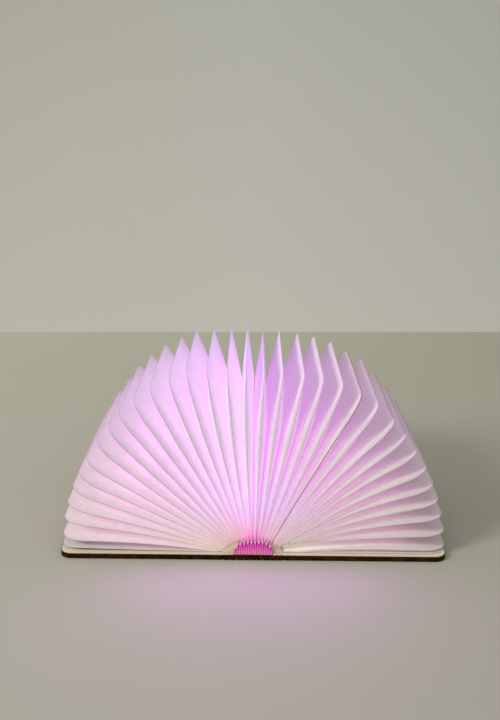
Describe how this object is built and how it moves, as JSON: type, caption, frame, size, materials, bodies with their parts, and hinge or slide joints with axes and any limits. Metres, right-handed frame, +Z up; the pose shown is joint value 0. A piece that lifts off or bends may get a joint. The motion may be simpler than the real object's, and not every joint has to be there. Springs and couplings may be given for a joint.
{
  "type": "folding book lamp",
  "caption": "Lamp shaped like a book: wooden covers on a kerf-cut living hinge open a fan of glowing paper pockets over a light bar along the spine.",
  "frame": {"origin": "on the table under the middle of the spine, half-way between tail and head", "axes": "+X towards the right cover's fore-edge, +Y from tail to head along the spine, +Z up"},
  "size_m": [0.204, 0.122, 0.1017],
  "materials": {
    "stained_wood": "dark stain, satin, with burnt laser-cut edges",
    "endpaper_card": "matte",
    "spun_paper": "matte, translucent",
    "moulded_channel": "satin",
    "frosted_diffuser": "frosted, lit from inside",
    "nickel_plate": "plated",
    "tinned_steel": "satin",
    "battery_foil": "satin foil",
    "circuit_board": "satin",
    "led_strip": "matte",
    "black_plastic": "matte"
  },
  "bodies": {
    "spine": {"spine_strip": "stained_wood", "bar_channel": "moulded_channel", "bar_diffuser": "frosted_diffuser", "bar_cap_tail": "frosted_diffuser", "bar_cap_head": "frosted_diffuser", "battery": "battery_foil", "charge_board": "circuit_board", "magnetic_switch": "black_plastic", "led_strip": "led_strip", "usb_socket": "tinned_steel"},
    "slat_left_1": {"hinge_slat_left_1": "stained_wood", "page_left_04": "spun_paper"},
    "slat_left_2": {"hinge_slat_left_2": "stained_wood", "page_left_07": "spun_paper"},
    "slat_left_3": {"hinge_slat_left_3": "stained_wood", "page_left_10": "spun_paper"},
    "slat_left_4": {"hinge_slat_left_4": "stained_wood", "page_left_13": "spun_paper"},
    "left_cover": {"cover_left": "stained_wood", "endpaper_left": "endpaper_card", "cover_magnet_left_tail": "nickel_plate", "cover_magnet_left_head": "nickel_plate", "sensor_magnet": "nickel_plate"},
    "slat_right_1": {"hinge_slat_right_1": "stained_wood", "page_right_04": "spun_paper"},
    "slat_right_2": {"hinge_slat_right_2": "stained_wood", "page_right_07": "spun_paper"},
    "slat_right_3": {"hinge_slat_right_3": "stained_wood", "page_right_10": "spun_paper"},
    "slat_right_4": {"hinge_slat_right_4": "stained_wood", "page_right_13": "spun_paper"},
    "right_cover": {"cover_right": "stained_wood", "endpaper_right": "endpaper_card", "cover_magnet_right_tail": "nickel_plate", "cover_magnet_right_head": "nickel_plate"},
    "left_page_01": {"page_left_01": "spun_paper"},
    "left_page_02": {"page_left_02": "spun_paper"},
    "left_page_03": {"page_left_03": "spun_paper"},
    "left_page_05": {"page_left_05": "spun_paper"},
    "left_page_06": {"page_left_06": "spun_paper"},
    "left_page_08": {"page_left_08": "spun_paper"},
    "left_page_09": {"page_left_09": "spun_paper"},
    "left_page_11": {"page_left_11": "spun_paper"},
    "left_page_12": {"page_left_12": "spun_paper"},
    "left_page_14": {"page_left_14": "spun_paper"},
    "left_page_15": {"page_left_15": "spun_paper"},
    "left_page_16": {"page_left_16": "spun_paper"},
    "right_page_01": {"page_right_01": "spun_paper"},
    "right_page_02": {"page_right_02": "spun_paper"},
    "right_page_03": {"page_right_03": "spun_paper"},
    "right_page_05": {"page_right_05": "spun_paper"},
    "right_page_06": {"page_right_06": "spun_paper"},
    "right_page_08": {"page_right_08": "spun_paper"},
    "right_page_09": {"page_right_09": "spun_paper"},
    "right_page_11": {"page_right_11": "spun_paper"},
    "right_page_12": {"page_right_12": "spun_paper"},
    "right_page_14": {"page_right_14": "spun_paper"},
    "right_page_15": {"page_right_15": "spun_paper"},
    "right_page_16": {"page_right_16": "spun_paper"}
  },
  "joints": [
    {"name": "left_kerf_1", "type": "hinge", "parent": "spine", "child": "slat_left_1", "pos_m": [-0.00175, 0, 0.0014], "axis": [0, 1, 0], "range_deg": [-21.05, 19.74], "deforming": ["page_left_04"]},
    {"name": "left_kerf_2", "type": "hinge", "parent": "slat_left_1", "child": "slat_left_2", "pos_m": [-0.00524, 0, 0.0014], "axis": [0, 1, 0], "range_deg": [-18.05, 16.93], "deforming": ["page_left_07"]},
    {"name": "left_kerf_3", "type": "hinge", "parent": "slat_left_2", "child": "slat_left_3", "pos_m": [-0.00873, 0, 0.0014], "axis": [0, 1, 0], "range_deg": [-18.05, 16.93], "deforming": ["page_left_10"]},
    {"name": "left_kerf_4", "type": "hinge", "parent": "slat_left_3", "child": "slat_left_4", "pos_m": [-0.01223, 0, 0.0014], "axis": [0, 1, 0], "range_deg": [-18.05, 16.93], "deforming": ["page_left_13"]},
    {"name": "left_cover_fold", "type": "hinge", "parent": "slat_left_4", "child": "left_cover", "pos_m": [-0.01572, 0, 0.0014], "axis": [0, 1, 0], "range_deg": [-21, 19.69]},
    {"name": "right_kerf_1", "type": "hinge", "parent": "spine", "child": "slat_right_1", "pos_m": [0.00175, 0, 0.0014], "axis": [0, -1, 0], "range_deg": [-21.05, 19.74], "deforming": ["page_right_04"]},
    {"name": "right_kerf_2", "type": "hinge", "parent": "slat_right_1", "child": "slat_right_2", "pos_m": [0.00524, 0, 0.0014], "axis": [0, -1, 0], "range_deg": [-18.05, 16.93], "deforming": ["page_right_07"]},
    {"name": "right_kerf_3", "type": "hinge", "parent": "slat_right_2", "child": "slat_right_3", "pos_m": [0.00873, 0, 0.0014], "axis": [0, -1, 0], "range_deg": [-18.05, 16.93], "deforming": ["page_right_10"]},
    {"name": "right_kerf_4", "type": "hinge", "parent": "slat_right_3", "child": "slat_right_4", "pos_m": [0.01223, 0, 0.0014], "axis": [0, -1, 0], "range_deg": [-18.05, 16.93], "deforming": ["page_right_13"]},
    {"name": "right_cover_fold", "type": "hinge", "parent": "slat_right_4", "child": "right_cover", "pos_m": [0.01572, 0, 0.0014], "axis": [0, -1, 0], "range_deg": [-21, 19.69]},
    {"name": "left_leaf_01", "type": "hinge", "parent": "spine", "child": "left_page_01", "pos_m": [-0.00175, 0, 0.0014], "axis": [0, 1, 0], "range_deg": [-3.05, 2.86], "deforming": ["page_left_01"]},
    {"name": "left_leaf_02", "type": "hinge", "parent": "spine", "child": "left_page_02", "pos_m": [-0.00175, 0, 0.0014], "axis": [0, 1, 0], "range_deg": [-9.05, 8.49], "deforming": ["page_left_02"]},
    {"name": "left_leaf_03", "type": "hinge", "parent": "spine", "child": "left_page_03", "pos_m": [-0.00175, 0, 0.0014], "axis": [0, 1, 0], "range_deg": [-15.05, 14.11], "deforming": ["page_left_03"]},
    {"name": "left_leaf_05", "type": "hinge", "parent": "slat_left_1", "child": "left_page_05", "pos_m": [-0.00524, 0, 0.0014], "axis": [0, 1, 0], "range_deg": [-6.05, 5.67], "deforming": ["page_left_05"]},
    {"name": "left_leaf_06", "type": "hinge", "parent": "slat_left_1", "child": "left_page_06", "pos_m": [-0.00524, 0, 0.0014], "axis": [0, 1, 0], "range_deg": [-12.05, 11.3], "deforming": ["page_left_06"]},
    {"name": "left_leaf_08", "type": "hinge", "parent": "slat_left_2", "child": "left_page_08", "pos_m": [-0.00873, 0, 0.0014], "axis": [0, 1, 0], "range_deg": [-6.05, 5.67], "deforming": ["page_left_08"]},
    {"name": "left_leaf_09", "type": "hinge", "parent": "slat_left_2", "child": "left_page_09", "pos_m": [-0.00873, 0, 0.0014], "axis": [0, 1, 0], "range_deg": [-12.05, 11.3], "deforming": ["page_left_09"]},
    {"name": "left_leaf_11", "type": "hinge", "parent": "slat_left_3", "child": "left_page_11", "pos_m": [-0.01223, 0, 0.0014], "axis": [0, 1, 0], "range_deg": [-6.05, 5.67], "deforming": ["page_left_11"]},
    {"name": "left_leaf_12", "type": "hinge", "parent": "slat_left_3", "child": "left_page_12", "pos_m": [-0.01223, 0, 0.0014], "axis": [0, 1, 0], "range_deg": [-12.05, 11.3], "deforming": ["page_left_12"]},
    {"name": "left_leaf_14", "type": "hinge", "parent": "slat_left_4", "child": "left_page_14", "pos_m": [-0.01572, 0, 0.0014], "axis": [0, 1, 0], "range_deg": [-6.05, 5.67], "deforming": ["page_left_14"]},
    {"name": "left_leaf_15", "type": "hinge", "parent": "slat_left_4", "child": "left_page_15", "pos_m": [-0.01572, 0, 0.0014], "axis": [0, 1, 0], "range_deg": [-12.05, 11.3], "deforming": ["page_left_15"]},
    {"name": "left_leaf_16", "type": "hinge", "parent": "slat_left_4", "child": "left_page_16", "pos_m": [-0.01572, 0, 0.0014], "axis": [0, 1, 0], "range_deg": [-18.05, 16.93], "deforming": ["page_left_16"]},
    {"name": "right_leaf_01", "type": "hinge", "parent": "spine", "child": "right_page_01", "pos_m": [0.00175, 0, 0.0014], "axis": [0, -1, 0], "range_deg": [-3.05, 2.86], "deforming": ["page_right_01"]},
    {"name": "right_leaf_02", "type": "hinge", "parent": "spine", "child": "right_page_02", "pos_m": [0.00175, 0, 0.0014], "axis": [0, -1, 0], "range_deg": [-9.05, 8.49], "deforming": ["page_right_02"]},
    {"name": "right_leaf_03", "type": "hinge", "parent": "spine", "child": "right_page_03", "pos_m": [0.00175, 0, 0.0014], "axis": [0, -1, 0], "range_deg": [-15.05, 14.11], "deforming": ["page_right_03"]},
    {"name": "right_leaf_05", "type": "hinge", "parent": "slat_right_1", "child": "right_page_05", "pos_m": [0.00524, 0, 0.0014], "axis": [0, -1, 0], "range_deg": [-6.05, 5.67], "deforming": ["page_right_05"]},
    {"name": "right_leaf_06", "type": "hinge", "parent": "slat_right_1", "child": "right_page_06", "pos_m": [0.00524, 0, 0.0014], "axis": [0, -1, 0], "range_deg": [-12.05, 11.3], "deforming": ["page_right_06"]},
    {"name": "right_leaf_08", "type": "hinge", "parent": "slat_right_2", "child": "right_page_08", "pos_m": [0.00873, 0, 0.0014], "axis": [0, -1, 0], "range_deg": [-6.05, 5.67], "deforming": ["page_right_08"]},
    {"name": "right_leaf_09", "type": "hinge", "parent": "slat_right_2", "child": "right_page_09", "pos_m": [0.00873, 0, 0.0014], "axis": [0, -1, 0], "range_deg": [-12.05, 11.3], "deforming": ["page_right_09"]},
    {"name": "right_leaf_11", "type": "hinge", "parent": "slat_right_3", "child": "right_page_11", "pos_m": [0.01223, 0, 0.0014], "axis": [0, -1, 0], "range_deg": [-6.05, 5.67], "deforming": ["page_right_11"]},
    {"name": "right_leaf_12", "type": "hinge", "parent": "slat_right_3", "child": "right_page_12", "pos_m": [0.01223, 0, 0.0014], "axis": [0, -1, 0], "range_deg": [-12.05, 11.3], "deforming": ["page_right_12"]},
    {"name": "right_leaf_14", "type": "hinge", "parent": "slat_right_4", "child": "right_page_14", "pos_m": [0.01572, 0, 0.0014], "axis": [0, -1, 0], "range_deg": [-6.05, 5.67], "deforming": ["page_right_14"]},
    {"name": "right_leaf_15", "type": "hinge", "parent": "slat_right_4", "child": "right_page_15", "pos_m": [0.01572, 0, 0.0014], "axis": [0, -1, 0], "range_deg": [-12.05, 11.3], "deforming": ["page_right_15"]},
    {"name": "right_leaf_16", "type": "hinge", "parent": "slat_right_4", "child": "right_page_16", "pos_m": [0.01572, 0, 0.0014], "axis": [0, -1, 0], "range_deg": [-18.05, 16.93], "deforming": ["page_right_16"]}
  ],
  "couplings": [
    {"joint": "left_kerf_1", "follows": "left_cover_fold", "ratio": 1},
    {"joint": "left_kerf_2", "follows": "left_cover_fold", "ratio": 0.85714},
    {"joint": "left_kerf_3", "follows": "left_cover_fold", "ratio": 0.85714},
    {"joint": "left_kerf_4", "follows": "left_cover_fold", "ratio": 0.85714},
    {"joint": "right_kerf_1", "follows": "right_cover_fold", "ratio": 1},
    {"joint": "right_kerf_2", "follows": "right_cover_fold", "ratio": 0.85714},
    {"joint": "right_kerf_3", "follows": "right_cover_fold", "ratio": 0.85714},
    {"joint": "right_kerf_4", "follows": "right_cover_fold", "ratio": 0.85714},
    {"joint": "left_leaf_01", "follows": "left_cover_fold", "ratio": 0.14286},
    {"joint": "left_leaf_02", "follows": "left_cover_fold", "ratio": 0.42857},
    {"joint": "left_leaf_03", "follows": "left_cover_fold", "ratio": 0.71429},
    {"joint": "left_leaf_05", "follows": "left_cover_fold", "ratio": 0.28571},
    {"joint": "left_leaf_06", "follows": "left_cover_fold", "ratio": 0.57143},
    {"joint": "left_leaf_08", "follows": "left_cover_fold", "ratio": 0.28571},
    {"joint": "left_leaf_09", "follows": "left_cover_fold", "ratio": 0.57143},
    {"joint": "left_leaf_11", "follows": "left_cover_fold", "ratio": 0.28571},
    {"joint": "left_leaf_12", "follows": "left_cover_fold", "ratio": 0.57143},
    {"joint": "left_leaf_14", "follows": "left_cover_fold", "ratio": 0.28571},
    {"joint": "left_leaf_15", "follows": "left_cover_fold", "ratio": 0.57143},
    {"joint": "left_leaf_16", "follows": "left_cover_fold", "ratio": 0.85714},
    {"joint": "right_leaf_01", "follows": "right_cover_fold", "ratio": 0.14286},
    {"joint": "right_leaf_02", "follows": "right_cover_fold", "ratio": 0.42857},
    {"joint": "right_leaf_03", "follows": "right_cover_fold", "ratio": 0.71429},
    {"joint": "right_leaf_05", "follows": "right_cover_fold", "ratio": 0.28571},
    {"joint": "right_leaf_06", "follows": "right_cover_fold", "ratio": 0.57143},
    {"joint": "right_leaf_08", "follows": "right_cover_fold", "ratio": 0.28571},
    {"joint": "right_leaf_09", "follows": "right_cover_fold", "ratio": 0.57143},
    {"joint": "right_leaf_11", "follows": "right_cover_fold", "ratio": 0.28571},
    {"joint": "right_leaf_12", "follows": "right_cover_fold", "ratio": 0.57143},
    {"joint": "right_leaf_14", "follows": "right_cover_fold", "ratio": 0.28571},
    {"joint": "right_leaf_15", "follows": "right_cover_fold", "ratio": 0.57143},
    {"joint": "right_leaf_16", "follows": "right_cover_fold", "ratio": 0.85714}
  ]
}
